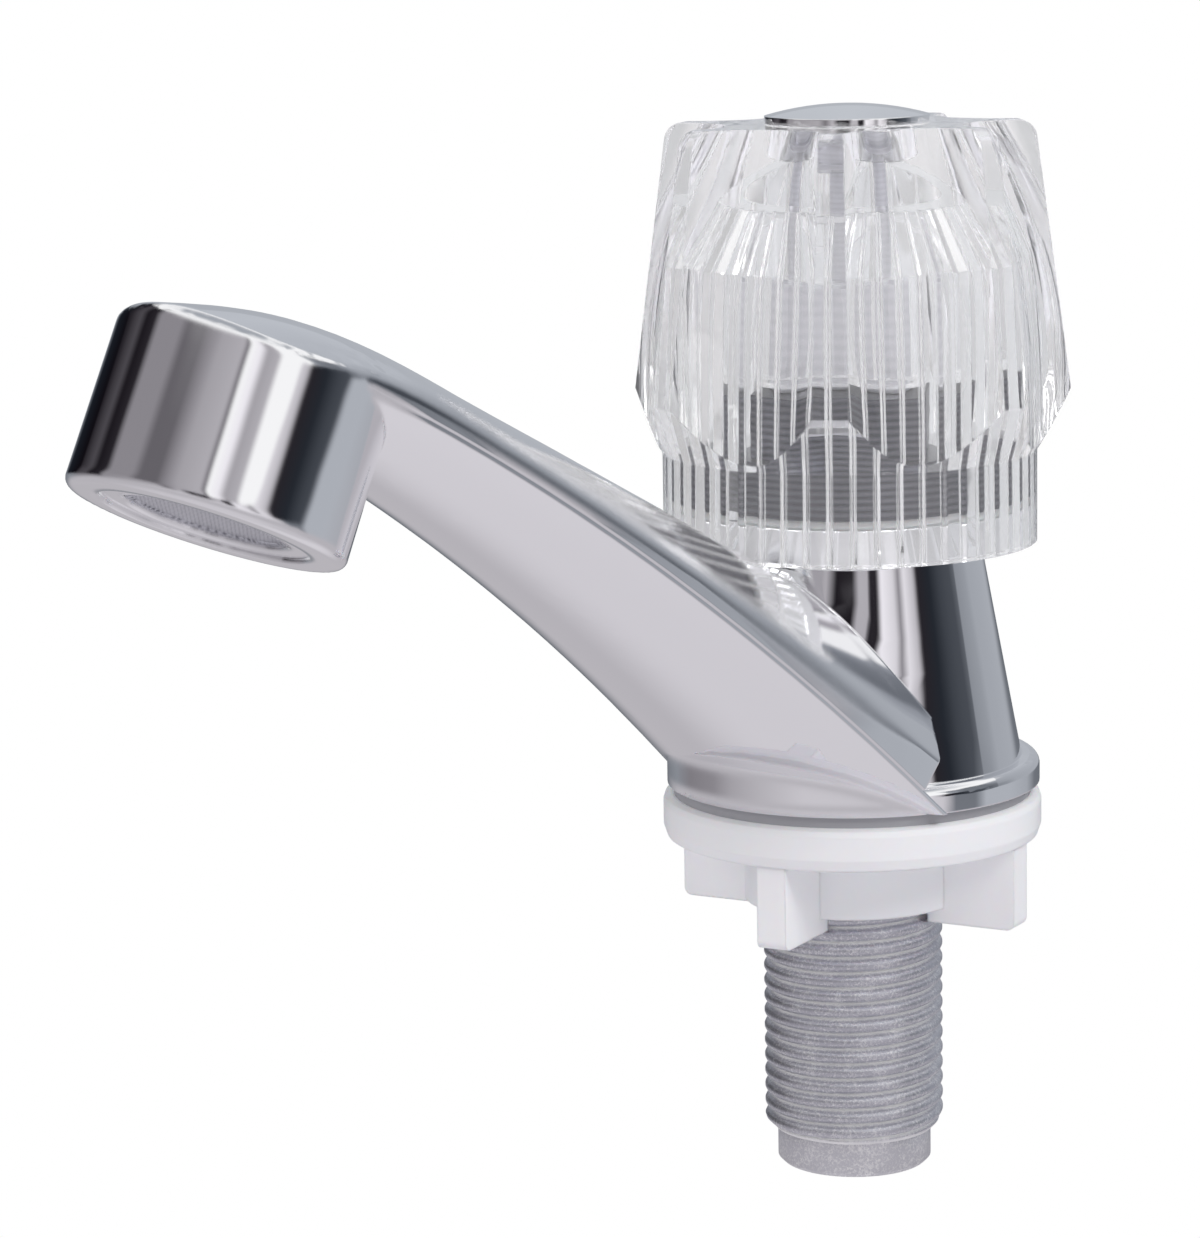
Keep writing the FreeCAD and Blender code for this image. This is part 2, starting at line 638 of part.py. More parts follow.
def handle():
    outer = fluted_block().fuse(rod(SKIRT_R, SKIRT_Z, SKIRT_TOP)).removeSplitter()
    boss = rod(BOSS_R, BOSS_Z, CAVITY_END + OVER)
    body = outer.cut(handle_cavity().cut(boss))
    socket = toothed(SPLINE_R + RUN_GAP, SPLINE_R - SPLINE_DEPTH + RUN_GAP, SPLINE_TEETH,
                     BOSS_Z - OVER, SPINDLE_TOP + TOP_AIR)
    body = body.cut(rod(SPINDLE_R + BOSS_RELIEF, BOSS_Z - OVER, SPLINE_Z)).cut(socket)
    body = body.cut(rod(SCREW_R + SCREW_HOLE_PLAY, SPINDLE_TOP, HANDLE_TOP + OVER))
    return body.cut(rod(CAP_PLUG_R - PRESS, RECESS_Z, HANDLE_TOP + OVER))


def handle_cap():
    # a low dome over the screw, with a hollow plug that pushes into the handle
    rise = CAP_RISE - CAP_RIM
    ball_r = (CAP_R ** 2 + rise ** 2) / (2 * rise)
    ball = Part.makeSphere(ball_r, up(0, 0, HANDLE_TOP + CAP_RISE - ball_r))
    dome = rod(CAP_R, HANDLE_TOP, HANDLE_TOP + CAP_RISE - CAP_FLAT).common(ball)
    plug = tube(CAP_PLUG_R, CAP_PLUG_R - CAP_WALL, HANDLE_TOP - CAP_PLUG_T, HANDLE_TOP + CAP_RIM / 2)
    return dome.fuse(plug).removeSplitter()


def handle_screw():
    base = RECESS_Z + SCREW_WASHER_T
    top = base + SCREW_HEAD_T
    body = rod(SCREW_HEAD_R, base, top).fuse(rod(SCREW_R, RECESS_Z - SCREW_LEN, top)).removeSplitter()
    corner = up(-CROSS_LONG / 2, -CROSS_WIDE / 2, top - CROSS_DEEP)
    bar = Part.makeBox(CROSS_LONG, CROSS_WIDE, CROSS_DEEP + OVER, corner)
    body = body.cut(bar)
    bar.rotate(up(0, 0, 0), up(0, 0, 1), 90)
    return body.cut(bar)


def screw_washer():
    return tube(SCREW_WASHER_R, SCREW_R + SCREW_WASHER_PLAY, RECESS_Z, RECESS_Z + SCREW_WASHER_T)


def aerator_housing():
    ring = head_tube(AERATOR_R - RUN_GAP, AERATOR_WINDOW_R, AERATOR_IN, AERATOR_END)
    return ring.cut(head_tube(INSERT_R, AERATOR_WINDOW_R - OVER, SCREEN_IN, AERATOR_END + OVER))


def aerator_screen():
    return head_rod(INSERT_R - RUN_GAP, SCREEN_IN, SCREEN_IN + SCREEN_T)


def jet(number):
    # one water hole of the ring of holes in the insert
    turn, tilt = 2 * math.pi * number / JETS, math.radians(OUTLET_TILT)
    hole = head_rod(JET_R, SCREEN_IN, AERATOR_END + OVER)
    across = up(math.cos(turn), -math.sin(turn) * math.cos(tilt), math.sin(turn) * math.sin(tilt))
    hole.translate(across * JET_RING_R)
    return hole


def aerator_insert():
    body = head_rod(INSERT_R - RUN_GAP, SCREEN_IN + SCREEN_T, AERATOR_END)
    for i in range(JETS):
        body = body.cut(jet(i))
    return body.cut(head_rod(MIDDLE_JET_R, SCREEN_IN, AERATOR_END + OVER))


def aerator_gasket():
    start = AERATOR_DEPTH - AERATOR_GASKET_T
    return head_tube(AERATOR_R - RUN_GAP, AERATOR_GASKET_BORE, start, AERATOR_DEPTH)


def base_washer():
    return tube(GASKET_R, TAIL_R + RUN_GAP, -GASKET_T, 0)


def nut_disc():
    top, low = -GASKET_T, NUT_LOW
    low_bend, top_bend = NUT_LOW_ROUND / 4, NUT_TOP_ROUND / 4
    return turned([(0, low), (NUT_R - NUT_LOW_ROUND, low), (NUT_R - low_bend, low + low_bend),
                   (NUT_R, low + NUT_LOW_ROUND), (NUT_R, top - NUT_TOP_ROUND),
                   (NUT_R - top_bend, top - top_bend), (NUT_R - NUT_TOP_ROUND, top), (0, top)])


def wing(turn):
    block = Part.makeBox(WING_R, WING_T, NUT_LOW + OVER - WING_LOW, up(0, -WING_T / 2, WING_LOW))
    corner = [e for e in block.Edges if e.BoundBox.XMin > WING_R / 2 and e.BoundBox.ZMax < WING_LOW / 2
              and e.BoundBox.ZLength < WING_T / 2]
    block = block.makeFillet(WING_ROUND, [e for e in corner if e.BoundBox.YLength > WING_T / 2])
    block.rotate(up(0, 0, 0), up(0, 0, 1), turn)
    return block


def mounting_nut():
    parts = [nut_disc(), rod(HUB_R, HUB_LOW, NUT_LOW + OVER)]
    parts += [wing(WING_TURN + i * 360.0 / WINGS) for i in range(WINGS)]
    return join(parts).cut(rod(TAIL_R + THREAD_GAP, WING_LOW - OVER, OVER))


def save(name, shape):
    if shape.ShapeType == "Compound" and len(shape.Solids) == 1:
        shape = shape.Solids[0]
    print(name, len(shape.Solids), "solid(s)", shape.isValid(), round(shape.Volume, 1))
    shape.exportStep(os.path.join(OUT, name + ".step"))


def main():
    os.makedirs("parts", exist_ok=True)
    save("tap_body", tap_body())
    save("shank", shank())
    save("shank_ring", shank_ring())
    save("valve_bonnet", bonnet())
    save("bonnet_gasket", bonnet_gasket())
    save("thrust_washer", thrust_washer())
    save("spindle", spindle())
    save("spindle_rings", Part.makeCompound([spindle_ring(z) for z in RING_Z]))
    save("spindle_circlip", circlip())
    save("valve_plug", valve_plug())
    save("seat_washer", seat_washer())
    save("seat_screw", seat_screw())
    save("handle", handle())
    save("handle_cap", handle_cap())
    save("handle_screw", handle_screw())
    save("screw_washer", screw_washer())
    save("aerator_housing", aerator_housing())
    save("aerator_screen", aerator_screen())
    save("aerator_insert", aerator_insert())
    save("aerator_gasket", aerator_gasket())
    save("base_washer", base_washer())
    save("mounting_nut", mounting_nut())


main()
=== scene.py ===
import math

import bmesh
import bpy
from mathutils import Matrix, Vector


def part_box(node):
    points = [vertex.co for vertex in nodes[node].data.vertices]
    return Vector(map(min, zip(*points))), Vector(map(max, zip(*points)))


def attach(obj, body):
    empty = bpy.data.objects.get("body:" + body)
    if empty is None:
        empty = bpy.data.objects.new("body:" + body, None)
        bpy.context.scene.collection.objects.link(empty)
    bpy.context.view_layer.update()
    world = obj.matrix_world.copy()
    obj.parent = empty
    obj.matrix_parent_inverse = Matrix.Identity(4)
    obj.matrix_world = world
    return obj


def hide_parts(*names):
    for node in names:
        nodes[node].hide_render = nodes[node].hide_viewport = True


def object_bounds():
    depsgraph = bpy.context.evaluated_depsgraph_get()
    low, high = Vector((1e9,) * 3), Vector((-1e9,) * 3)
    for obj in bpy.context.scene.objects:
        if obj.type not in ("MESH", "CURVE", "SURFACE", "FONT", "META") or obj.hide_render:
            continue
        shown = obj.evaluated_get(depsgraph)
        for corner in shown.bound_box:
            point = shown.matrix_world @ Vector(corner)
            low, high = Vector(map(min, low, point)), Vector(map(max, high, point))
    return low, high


# A chromed pillar basin tap with a clear fluted handle, a dull threaded tail and a white wing nut.
# Metres. The valve axis is Z, the origin is the underside of the base, the spout reaches along -Y.

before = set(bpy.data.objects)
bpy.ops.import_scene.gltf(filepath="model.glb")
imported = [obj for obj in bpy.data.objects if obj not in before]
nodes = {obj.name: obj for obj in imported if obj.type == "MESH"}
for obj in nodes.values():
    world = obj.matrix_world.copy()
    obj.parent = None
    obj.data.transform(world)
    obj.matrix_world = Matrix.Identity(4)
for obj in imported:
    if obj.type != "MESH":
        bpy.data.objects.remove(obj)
cad_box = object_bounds()
MM = 0.001

# camera: half a metre from the tap, a little above it, seeing the spout's left side
CAMERA_AT = (0.31315, -0.36378, 0.10490)
CAMERA_LOOKS = (-0.686174, 0.705855, -0.175882)
CAMERA_ROLL = math.radians(-1.03)
CAMERA_LENS = 126.045       # millimetres, like the sensor's width
CAMERA_SENSOR = 36.0
CAMERA_NEAR = 10.0 * MM     # nothing nearer than this is drawn
CAMERA_SIDE = math.atan2(CAMERA_AT[1], CAMERA_AT[0])        # which way round the tap it stands


def place_camera():
    forward = Vector(CAMERA_LOOKS).normalized()
    level = forward.cross(Vector((0, 0, 1))).normalized()
    raised = level.cross(forward)
    right = level * math.cos(CAMERA_ROLL) + raised * math.sin(CAMERA_ROLL)
    above = raised * math.cos(CAMERA_ROLL) - level * math.sin(CAMERA_ROLL)
    data = bpy.data.cameras.new("camera")
    data.sensor_fit = "HORIZONTAL"
    data.sensor_width = CAMERA_SENSOR
    data.lens = CAMERA_LENS
    data.clip_start = CAMERA_NEAR
    camera = bpy.data.objects.new("camera", data)
    bpy.context.scene.collection.objects.link(camera)
    turn = Matrix((right, above, -forward)).transposed().to_4x4()
    camera.matrix_world = Matrix.Translation(CAMERA_AT) @ turn
    bpy.context.scene.camera = camera


place_camera()


# materials
def linear(hex_colour):
    values = [int(hex_colour[i:i + 2], 16) / 255 for i in (1, 3, 5)]
    lit = [v / 12.92 if v <= 0.04045 else ((v + 0.055) / 1.055) ** 2.4 for v in values]
    return (*lit, 1.0)


def add(tree, kind, links=None, values=None, **settings):
    """Adds one node: settings are its properties, values its constants, links what feeds its inputs."""
    node = tree.nodes.new(kind)
    for name, setting in settings.items():
        setattr(node, name, setting)
    for socket, value in (values or {}).items():
        node.inputs[socket].default_value = value
    for socket, source in (links or {}).items():
        tree.links.new(source, node.inputs[socket])
    return node


def fill_bands(ramp, bands, first, last):
    # colours of a ramp at their own places between two ends
    stops = ramp.color_ramp.elements
    while len(stops) < len(bands):
        stops.new(0.5)
    for stop, (place, colour) in zip(stops, bands):
        stop.position = (place - first) / (last - first)
        stop.color = linear(colour)


def new_finish(name):
    finish = bpy.data.materials.new(name)
    finish.use_nodes = True
    finish.node_tree.nodes.clear()
    return finish, finish.node_tree


def dress(obj, finish):
    obj.data.materials.clear()
    obj.data.materials.append(finish)


# Rounding of the casting's edges. Each pair says where that rounding is nothing and where it is whole.
SEAM_SOFT = 0.25 * MM       # at every seam
HEAD_SOFT = 0.9 * MM        # more on the head's edges
HEAD_AHEAD = (-80.0 * MM, -86.0 * MM)       # along Y
FOOT_SOFT = 2.4 * MM        # more in the hollow where the arm runs into its foot
FOOT_LOW = (12.0 * MM, 0.0)                 # by height
FOOT_FRONT = (0.0, -6.0 * MM)               # along Y
FOOT_BENEATH = (-0.8 * MM, -3.0 * MM)       # by height from the seam
PLATE_SOFT = 6.0 * MM       # more along the top of the arm
PLATE_ABOVE = (1.0 * MM, 4.0 * MM)          # by height from the seam
PLATE_OFF_CONE = (20.86 * MM, 23.26 * MM)   # by radius at the base, off the cone's crisp edge
PLATE_OFF_FOOT = (8.0 * MM, 15.0 * MM)      # by height
PLATE_OUT = (3.0 * MM, -2.0 * MM)           # along Y
CONE_SLOPE = 0.186          # how much narrower the cone gets with its height
# the seam below the plate, near the foot and further out: its height at Y 0, and its rise along -Y
SEAM_LINES = ((-6.3 * MM, 0.797), (1.9 * MM, 0.615))
# hand-made dents on a rounded edge by its normal's height: none on walls, all at the bend, none on tops
EDGE_FACING = ((0.47, "#000000"), (0.55, "#ffffff"), (0.80, "#ffffff"), (0.90, "#000000"))
WAVE_SIZE = 6.667 * MM      # slow waves that polishing leaves in the plated metal
DENT_SIZE = 2.632 * MM      # and its dents along the head's edge
DENT_DEPTH = 0.4 * MM


def edge_softness(tree, place, parts, ahead, plate_soft):
    # rounding of the casting's edges: small at its seams, large along the plate and round the foot
    along, height = parts.outputs["Y"], parts.outputs["Z"]
    flat = add(tree, "ShaderNodeVectorMath", {0: place}, {1: (1.0, 1.0, 0.0)}, operation="MULTIPLY")
    out = add(tree, "ShaderNodeVectorMath", {0: flat.outputs["Vector"]}, operation="LENGTH")
    from_cone = add(tree, "ShaderNodeMath", {0: height, 2: out.outputs["Value"]}, {1: CONE_SLOPE},
                    operation="MULTIPLY_ADD").outputs[0]
    near, far = [add(tree, "ShaderNodeMath", {0: along}, {1: -rise, 2: start},
                     operation="MULTIPLY_ADD").outputs[0] for start, rise in SEAM_LINES]
    seam = add(tree, "ShaderNodeMath", {0: near, 1: far}, operation="MINIMUM").outputs[0]
    above = add(tree, "ShaderNodeMath", {0: height, 1: seam}, operation="SUBTRACT").outputs[0]
    foot_rows = ((height, FOOT_LOW), (along, FOOT_FRONT), (above, FOOT_BENEATH))
    plate_rows = ((above, PLATE_ABOVE), (from_cone, PLATE_OFF_CONE), (height, PLATE_OFF_FOOT),
                  (along, PLATE_OUT), (along, HEAD_AHEAD[::-1]))
    radius = add(tree, "ShaderNodeMath", {0: ahead}, {1: HEAD_SOFT, 2: SEAM_SOFT},
                 operation="MULTIPLY_ADD").outputs[0]
    for rows, most in ((foot_rows, FOOT_SOFT), (plate_rows, plate_soft)):
        share = None
        for measure, (nothing, whole) in rows:
            part = add(tree, "ShaderNodeMapRange", {"Value": measure},
                       {"From Min": nothing, "From Max": whole}).outputs["Result"]
            share = part if share is None else add(tree, "ShaderNodeMath", {0: share, 1: part},
                                                   operation="MULTIPLY").outputs[0]
        radius = add(tree, "ShaderNodeMath", {0: share, 2: radius}, {1: most},
                     operation="MULTIPLY_ADD").outputs[0]
    return radius


def bright_chrome(name, colour, rough, wave, plate_soft):
    # chromium plate polished by hand: a mirror with slow waves, softened seams and wavy rounded edges
    finish, tree = new_finish(name)
    coordinates = add(tree, "ShaderNodeTexCoord")
    place = coordinates.outputs["Object"]
    parts = add(tree, "ShaderNodeSeparateXYZ", {"Vector": place})
    ahead = add(tree, "ShaderNodeMapRange", {"Value": parts.outputs["Y"]},
                {"From Min": HEAD_AHEAD[0], "From Max": HEAD_AHEAD[1]}).outputs["Result"]
    softness = edge_softness(tree, place, parts, ahead, plate_soft)
    soft = add(tree, "ShaderNodeBevel", {"Radius": softness}, samples=12)
    slow = add(tree, "ShaderNodeTexNoise", {"Vector": place}, {"Scale": 1 / WAVE_SIZE, "Detail": 1.0})
    low = add(tree, "ShaderNodeBump", {"Height": slow.outputs["Fac"], "Normal": soft.outputs["Normal"]},
              {"Strength": 1.0, "Distance": wave})
    facing = add(tree, "ShaderNodeSeparateXYZ", {"Vector": coordinates.outputs["Normal"]})
    edge = add(tree, "ShaderNodeValToRGB", {"Fac": facing.outputs["Z"]})
    fill_bands(edge, EDGE_FACING, 0.0, 1.0)
    worked = add(tree, "ShaderNodeMath", {0: edge.outputs["Color"], 1: ahead}, operation="MULTIPLY")
    hand = add(tree, "ShaderNodeTexNoise", {"Vector": place}, {"Scale": 1 / DENT_SIZE, "Detail": 1.0})
    rolled = add(tree, "ShaderNodeBump", {"Height": hand.outputs["Fac"], "Normal": low.outputs["Normal"],
                                          "Strength": worked.outputs[0]}, {"Distance": DENT_DEPTH})
    metal = add(tree, "ShaderNodeBsdfPrincipled", {"Normal": rolled.outputs["Normal"]},
                {"Metallic": 1.0, "Roughness": rough, "Base Color": linear(colour)})
    add(tree, "ShaderNodeOutputMaterial", {"Surface": metal.outputs["BSDF"]})
    return finish


CRYSTAL_SIZE = 0.3125 * MM  # grain of the bare casting, coarser than the real one so that it shows
PATCH_SIZE = 2.381 * MM     # brighter and duller patches of it
PATCH_SHARE = 0.3           # how much a patch adds to its crystals
SPARK_FROM = (0.62, 0.9)    # only the highest crystals spark
CRYSTAL_DEPTH = 0.05 * MM
# painted highlight on the tail by its radius in millimetres: a middling one on the dull spigot, the
# brightest in the groove, none on the dull crest
SHINE_SPAN = 20.0
THREAD_PAINTED_HIGHLIGHT = ((9.0, "#909090"), (9.3, "#909090"), (9.45, "#ffffff"), (9.7, "#e0e0e0"),
                (10.0, "#202020"), (10.5, "#000000"))


def bare_casting(name, light, dark):
    # unplated zinc thread: dull grey with a painted sparkle of glints on its crystals, and a painted
    # highlight along its grooves
    finish, tree = new_finish(name)
    place = add(tree, "ShaderNodeTexCoord").outputs["Object"]
    flat = add(tree, "ShaderNodeVectorMath", {0: place}, {1: (1.0, 1.0, 0.0)}, operation="MULTIPLY")
    out = add(tree, "ShaderNodeVectorMath", {0: flat.outputs["Vector"]}, operation="LENGTH")
    share = add(tree, "ShaderNodeMath", {0: out.outputs["Value"]}, {1: 1 / (SHINE_SPAN * MM)},
                operation="MULTIPLY")
    # painted highlight: the tail is drawn lighter in its grooves and on its spigot
    cut = add(tree, "ShaderNodeValToRGB", {"Fac": share.outputs[0]})
    fill_bands(cut, THREAD_PAINTED_HIGHLIGHT, 0.0, SHINE_SPAN)
    grain = add(tree, "ShaderNodeTexNoise", {"Vector": place},
                {"Scale": 1 / CRYSTAL_SIZE, "Detail": 3.0, "Roughness": 0.8})
    patch = add(tree, "ShaderNodeTexNoise", {"Vector": place}, {"Scale": 1 / PATCH_SIZE, "Detail": 3.0})
    fleck = add(tree, "ShaderNodeMath", {0: patch.outputs["Fac"], 2: grain.outputs["Fac"]},
                {1: PATCH_SHARE}, operation="MULTIPLY_ADD")
    # painted glints: the highest crystals are drawn lighter
    spark = add(tree, "ShaderNodeMapRange", {"Value": fleck.outputs[0]},
                {"From Min": SPARK_FROM[0], "From Max": SPARK_FROM[1]})
    painted_glint_and_highlight = add(tree, "ShaderNodeMath", {0: spark.outputs["Result"], 1: cut.outputs["Color"]},
               operation="ADD", use_clamp=True)
    tone = add(tree, "ShaderNodeMix", {"Factor": painted_glint_and_highlight.outputs[0]}, {6: linear(dark), 7: linear(light)},
               data_type="RGBA")
    rough = add(tree, "ShaderNodeMapRange", {"Value": grain.outputs["Fac"]},
                {"To Min": 0.2, "To Max": 0.5})
    bump = add(tree, "ShaderNodeBump", {"Height": grain.outputs["Fac"]},
               {"Strength": 1.0, "Distance": CRYSTAL_DEPTH})
    metal = add(tree, "ShaderNodeBsdfPrincipled",
                {"Base Color": tone.outputs[2], "Normal": bump.outputs["Normal"],
                 "Roughness": rough.outputs["Result"]}, {"Metallic": 0.85})
    add(tree, "ShaderNodeOutputMaterial", {"Surface": metal.outputs["BSDF"]})
    return finish


ACRYLIC_CORNER = 0.3 * MM   # rounding of the moulded flutes and ribs
RIPPLE_SIZE = 2.857 * MM
RIPPLE_DEPTH = 0.012 * MM
DEEPEST = 4.5               # bounces after which light counts as lost inside
MILKINESS = 0.05            # share of light that the acrylic scatters
MATT_UNDERSIDE = 0.55       # and where the mould leaves it matt, on faces that look down this far
UNDERSIDE_FACING = (-0.6, -0.9)


def clear_plastic(name):
    # moulded acrylic, clear and polished, with soft corners, a slight ripple and a trace of milkiness,
    # and matt on its undersides; light lost deep inside and light from the lamps goes straight on
    finish, tree = new_finish(name)
    coordinates = add(tree, "ShaderNodeTexCoord")
    corner = add(tree, "ShaderNodeBevel", values={"Radius": ACRYLIC_CORNER}, samples=4)
    ripple = add(tree, "ShaderNodeTexNoise", {"Vector": coordinates.outputs["Object"]},
                 {"Scale": 1 / RIPPLE_SIZE, "Detail": 1.0})
    bump = add(tree, "ShaderNodeBump",
               {"Height": ripple.outputs["Fac"], "Normal": corner.outputs["Normal"]},
               {"Strength": 1.0, "Distance": RIPPLE_DEPTH})
    body = add(tree, "ShaderNodeBsdfPrincipled", {"Normal": bump.outputs["Normal"]},
               {"Roughness": 0.0, "IOR": 1.49, "Transmission Weight": 1.0,
                "Base Color": linear("#fcfcfd")})
    through = add(tree, "ShaderNodeBsdfTransparent")
    rays = add(tree, "ShaderNodeLightPath")
    passing = add(tree, "ShaderNodeMath",
                  {0: rays.outputs["Is Shadow Ray"], 1: rays.outputs["Is Diffuse Ray"]},
                  operation="MAXIMUM")
    lost = add(tree, "ShaderNodeMath", {0: rays.outputs["Ray Depth"]}, {1: DEEPEST},
               operation="GREATER_THAN")
    straight = add(tree, "ShaderNodeMath", {0: passing.outputs[0], 1: lost.outputs[0]},
                   operation="MAXIMUM")
    facing = add(tree, "ShaderNodeSeparateXYZ", {"Vector": coordinates.outputs["Normal"]})
    matt = add(tree, "ShaderNodeMapRange", {"Value": facing.outputs["Z"]},
               {"From Min": UNDERSIDE_FACING[0], "From Max": UNDERSIDE_FACING[1],
                "To Min": MILKINESS, "To Max": MATT_UNDERSIDE})
    milk = add(tree, "ShaderNodeBsdfDiffuse", values={"Color": linear("#ffffff")})
    clear = add(tree, "ShaderNodeMixShader",
                {"Fac": matt.outputs["Result"], 1: body.outputs["BSDF"], 2: milk.outputs["BSDF"]})
    both = add(tree, "ShaderNodeMixShader",
               {"Fac": straight.outputs[0], 1: clear.outputs["Shader"], 2: through.outputs["BSDF"]})
    add(tree, "ShaderNodeOutputMaterial", {"Surface": both.outputs["Shader"]})
    return finish


MOULDED_CORNER = 0.4 * MM   # rounding of the nut's and washers' edges
FLOW_SIZE = 3.846 * MM      # marks that the plastic leaves as it fills the mould
LIGHT_REACH = 2.0 * MM      # how far light spreads inside pale plastic


def moulded_plastic(name, colour, shade_in_mirrors, rough, grain):
    # nylon, acetal or fibre from a mould: even colour, soft sheen, rounded corners and faint flow marks;
    # the second colour is a painted shade: it is drawn in this darker colour where polished metal
    # mirrors it
    finish, tree = new_finish(name)
    place = add(tree, "ShaderNodeTexCoord").outputs["Object"]
    corner = add(tree, "ShaderNodeBevel", values={"Radius": MOULDED_CORNER}, samples=4)
    flow = add(tree, "ShaderNodeTexNoise", {"Vector": place}, {"Scale": 1 / FLOW_SIZE, "Detail": 2.0})
    bump = add(tree, "ShaderNodeBump",
               {"Height": flow.outputs["Fac"], "Normal": corner.outputs["Normal"]},
               {"Strength": 1.0, "Distance": grain})
    rays = add(tree, "ShaderNodeLightPath")
    # painted shade: rays mirrored off polished metal see the darker colour
    tone = add(tree, "ShaderNodeMix", {"Factor": rays.outputs["Is Glossy Ray"]},
               {6: linear(colour), 7: linear(shade_in_mirrors)}, data_type="RGBA")
    body = add(tree, "ShaderNodeBsdfPrincipled",
               {"Normal": bump.outputs["Normal"], "Base Color": tone.outputs[2]},
               {"Roughness": rough, "IOR": 1.5, "Subsurface Weight": 0.15,
                "Subsurface Scale": LIGHT_REACH})
    add(tree, "ShaderNodeOutputMaterial", {"Surface": body.outputs["BSDF"]})
    return finish


RING_DEPTH = 0.01 * MM      # of the lathe's marks
WAVES_IN_UNIT = 20 / (2 * math.pi)      # bands that a wave pattern of scale 1 draws in one metre


def turned_metal(name, light, dark, rough, pitch):
    # metal straight from the lathe: light and dark rings round the axis, one to each pitch, which is
    # drawn coarser than the tool's real feed so that it shows
    finish, tree = new_finish(name)
    place = add(tree, "ShaderNodeTexCoord").outputs["Object"]
    rings = add(tree, "ShaderNodeTexWave", {"Vector": place},
                {"Scale": 1 / (WAVES_IN_UNIT * pitch), "Distortion": 0.6, "Detail": 1.0},
                wave_type="BANDS", bands_direction="Z")
    tone = add(tree, "ShaderNodeMix", {"Factor": rings.outputs["Fac"]},
               {6: linear(dark), 7: linear(light)}, data_type="RGBA")
    bump = add(tree, "ShaderNodeBump", {"Height": rings.outputs["Fac"]},
               {"Strength": 1.0, "Distance": RING_DEPTH})
    metal = add(tree, "ShaderNodeBsdfPrincipled",
                {"Normal": bump.outputs["Normal"], "Base Color": tone.outputs[2]},
                {"Metallic": 1.0, "Roughness": rough})
    add(tree, "ShaderNodeOutputMaterial", {"Surface": metal.outputs["BSDF"]})
    return finish


OUTLET_TILT = math.radians(25.5)
MESH_PITCH = 0.6 * MM       # of the gauze, drawn coarser than real gauze so that it shows
MESH_DEPTH = 0.1 * MM


def woven_mesh(name, wire, gap):
    # stainless gauze across the outlet: crossed wires with painted shade in the openings between them
    finish, tree = new_finish(name)
    place = add(tree, "ShaderNodeTexCoord").outputs["Object"]
    level = add(tree, "ShaderNodeMapping", {"Vector": place}, {"Rotation": (OUTLET_TILT, 0.0, 0.0)})
    warp, weft = [add(tree, "ShaderNodeTexWave", {"Vector": level.outputs["Vector"]},
                      {"Scale": 1 / (WAVES_IN_UNIT * MESH_PITCH)}, wave_type="BANDS",
                      bands_direction=way).outputs["Fac"] for way in ("X", "Y")]
    cloth = add(tree, "ShaderNodeMath", {0: warp, 1: weft}, operation="MAXIMUM")
    # painted shade: the openings between the wires are drawn in the darker colour
    tone = add(tree, "ShaderNodeMix", {"Factor": cloth.outputs[0]}, {6: linear(gap), 7: linear(wire)},
               data_type="RGBA")
    bump = add(tree, "ShaderNodeBump", {"Height": cloth.outputs[0]},
               {"Strength": 1.0, "Distance": MESH_DEPTH})
    metal = add(tree, "ShaderNodeBsdfPrincipled",
                {"Base Color": tone.outputs[2], "Normal": bump.outputs["Normal"]},
                {"Metallic": 0.8, "Roughness": 0.4})
    add(tree, "ShaderNodeOutputMaterial", {"Surface": metal.outputs["BSDF"]})
    return finish


DUST_SIZE = 1.111 * MM      # faint bloom on the seals
DUST_DEPTH = 0.01 * MM


def soft_rubber(name, colour):
    # seal rubber: even and slightly waxy, with a faint bloom
    finish, tree = new_finish(name)
    place = add(tree, "ShaderNodeTexCoord").outputs["Object"]
    dust = add(tree, "ShaderNodeTexNoise", {"Vector": place}, {"Scale": 1 / DUST_SIZE, "Detail": 2.0})
    bump = add(tree, "ShaderNodeBump", {"Height": dust.outputs["Fac"]},
               {"Strength": 1.0, "Distance": DUST_DEPTH})
    body = add(tree, "ShaderNodeBsdfPrincipled", {"Normal": bump.outputs["Normal"]},
               {"Roughness": 0.5, "IOR": 1.52, "Base Color": linear(colour)})
    add(tree, "ShaderNodeOutputMaterial", {"Surface": body.outputs["BSDF"]})
    return finish


# polished metals and plastics: colours, roughness and the depth of their waves
chrome_plate = bright_chrome("chrome_plate", "#f4f4f6", 0.03, 0.01 * MM, PLATE_SOFT)
chromed_cap = bright_chrome("chromed_plastic_cap", "#ffffff", 0.05, 0.004 * MM, 0.0)
zinc = bare_casting("bare_zinc_casting", "#ffffff", "#c6c6ce")
acrylic = clear_plastic("clear_acrylic")
# plastics: colour, its painted shade in mirrors, roughness and the depth of their flow marks
nylon = moulded_plastic("white_nylon", "#f6f6f7", "#dad9de", 0.35, 0.01 * MM)
fibre = moulded_plastic("pale_fibre_washer", "#e4e4e2", "#c8c8c8", 0.7, 0.02 * MM)
acetal = moulded_plastic("grey_acetal_insert", "#c9cacd", "#a8a9ac", 0.45, 0.01 * MM)
# turned metals: light and dark of a ring, roughness and the rings' pitch
brass = turned_metal("turned_bonnet_metal", "#5e5e67", "#36363e", 0.3, 0.8 * MM)
satin = turned_metal("satin_plated_spindle", "#dedee3", "#d0d0d6", 0.4, 1.2 * MM)
steel = turned_metal("plated_steel", "#d4d4da", "#c8c8ce", 0.4, 0.6 * MM)
gauze = woven_mesh("woven_steel_mesh", "#d4d4da", "#8c8c94")
rubber = soft_rubber("black_seal_rubber", "#1c1c1e")
grey_rubber = soft_rubber("grey_washer_rubber", "#a8a8ac")

